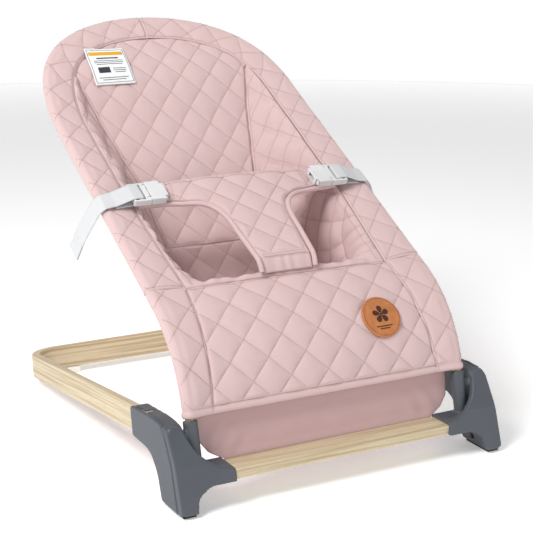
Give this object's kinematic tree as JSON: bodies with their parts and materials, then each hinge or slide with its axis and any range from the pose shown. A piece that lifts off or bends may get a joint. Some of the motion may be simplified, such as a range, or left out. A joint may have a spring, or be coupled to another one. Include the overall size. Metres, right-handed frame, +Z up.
{
  "type": "baby bouncer seat",
  "caption": "Low baby bouncer: a quilted cloth sling on a rounded sprung hoop, with a crotch bib and side buckles, on a bent-wood floor loop with moulded corner legs.",
  "frame": {"origin": "middle of the overall box, on the floor", "axes": "+Z up, +Y to the head end at the rear, +X to the seat's right seen from the front"},
  "size_m": [0.419, 0.5719, 0.4656],
  "materials": {
    "ash_wood": "clear matt lacquer over pale ash grain",
    "grey_moulding": "fine satin texture",
    "rubber": "matt",
    "clear_rubber": "cloudy soft silicone",
    "zinc_steel": "zinc plated",
    "coated_tube": "satin beige powder coat",
    "spring_steel": "bare",
    "quilted_cloth": "plain weave cotton, diamond quilted",
    "plain_cloth": "plain weave cotton",
    "piping_cloth": "bias-bound cord",
    "webbing": "white flat webbing",
    "buckle_plastic": "white acetal",
    "tan_leather": "embossed tan hide with a stitched rim",
    "label_cloth": "white woven label"
  },
  "bodies": {
    "base": {"base_rail": "ash_wood", "front_bar": "ash_wood", "left_bracket": "grey_moulding", "right_bracket": "grey_moulding", "left_side_cover": "grey_moulding", "right_side_cover": "grey_moulding", "left_foot_pad": "rubber", "right_foot_pad": "rubber", "rear_pads": "clear_rubber", "rail_screws": "zinc_steel", "bar_screws": "zinc_steel", "cover_screws": "zinc_steel", "panel_studs": "zinc_steel", "lower_panel": "plain_cloth"},
    "seat": {"left_lower_rod": "coated_tube", "right_lower_rod": "coated_tube", "seat_hoop": "coated_tube", "left_button_spring": "spring_steel", "right_button_spring": "spring_steel", "left_front_sleeve": "quilted_cloth", "right_front_sleeve": "quilted_cloth", "left_side_sleeve": "quilted_cloth", "right_side_sleeve": "quilted_cloth", "front_panel": "quilted_cloth", "seat_well": "quilted_cloth", "back_panel": "quilted_cloth", "left_gusset": "quilted_cloth", "right_gusset": "quilted_cloth", "bib": "quilted_cloth", "left_piping": "piping_cloth", "right_piping": "piping_cloth", "left_buckle_female": "buckle_plastic", "right_buckle_female": "buckle_plastic", "badge": "tan_leather", "care_label": "label_cloth"},
    "left_snap": {"left_snap_button": "zinc_steel"},
    "right_snap": {"right_snap_button": "zinc_steel"},
    "left_buckle": {"left_buckle_male": "buckle_plastic", "left_strap": "webbing"},
    "right_buckle": {"right_buckle_male": "buckle_plastic", "right_strap": "webbing"},
    "left_front_arm": {"left_arm_front": "buckle_plastic"},
    "left_rear_arm": {"left_arm_rear": "buckle_plastic"},
    "right_front_arm": {"right_arm_front": "buckle_plastic"},
    "right_rear_arm": {"right_arm_rear": "buckle_plastic"}
  },
  "joints": [
    {"name": "seat_bounce", "type": "hinge", "parent": "base", "child": "seat", "pos_m": [0, -0.23601, 0.08775], "axis": [1, 0, 0], "range_deg": [-7, 3], "stiffness_Nm_per_rad": 150, "springref_deg": 0.64, "deforming": ["left_lower_rod", "right_lower_rod"]},
    {"name": "left_snap_press", "type": "slide", "parent": "seat", "child": "left_snap", "axis": [-1, 0, 0], "range_m": [0, 0.0022], "stiffness_N_per_m": 2000, "deforming": ["left_button_spring"]},
    {"name": "left_buckle_release", "type": "slide", "parent": "seat", "child": "left_buckle", "axis": [-1, 0, 0], "range_m": [0, 0.022]},
    {"name": "left_front_arm_squeeze", "type": "hinge", "parent": "left_buckle", "child": "left_front_arm", "pos_m": [-0.1225, -0.02908, 0.28242], "axis": [0, -0.4802, 0.8771], "range_deg": [0, 10]},
    {"name": "left_rear_arm_squeeze", "type": "hinge", "parent": "left_buckle", "child": "left_rear_arm", "pos_m": [-0.1225, -0.00979, 0.29298], "axis": [0, -0.4802, 0.8771], "range_deg": [-10, 0]},
    {"name": "right_snap_press", "type": "slide", "parent": "seat", "child": "right_snap", "axis": [1, 0, 0], "range_m": [0, 0.0022], "stiffness_N_per_m": 2000, "deforming": ["right_button_spring"]},
    {"name": "right_buckle_release", "type": "slide", "parent": "seat", "child": "right_buckle", "axis": [1, 0, 0], "range_m": [0, 0.022]},
    {"name": "right_front_arm_squeeze", "type": "hinge", "parent": "right_buckle", "child": "right_front_arm", "pos_m": [0.1225, -0.02908, 0.28242], "axis": [0, -0.4802, 0.8771], "range_deg": [-10, 0]},
    {"name": "right_rear_arm_squeeze", "type": "hinge", "parent": "right_buckle", "child": "right_rear_arm", "pos_m": [0.1225, -0.00979, 0.29298], "axis": [0, -0.4802, 0.8771], "range_deg": [0, 10]}
  ],
  "couplings": [
    {"joint": "left_front_arm_squeeze", "follows": "left_buckle_release", "rad_per_m": 7.93},
    {"joint": "left_rear_arm_squeeze", "follows": "left_buckle_release", "rad_per_m": -7.93},
    {"joint": "right_front_arm_squeeze", "follows": "right_buckle_release", "rad_per_m": -7.93},
    {"joint": "right_rear_arm_squeeze", "follows": "right_buckle_release", "rad_per_m": 7.93}
  ]
}
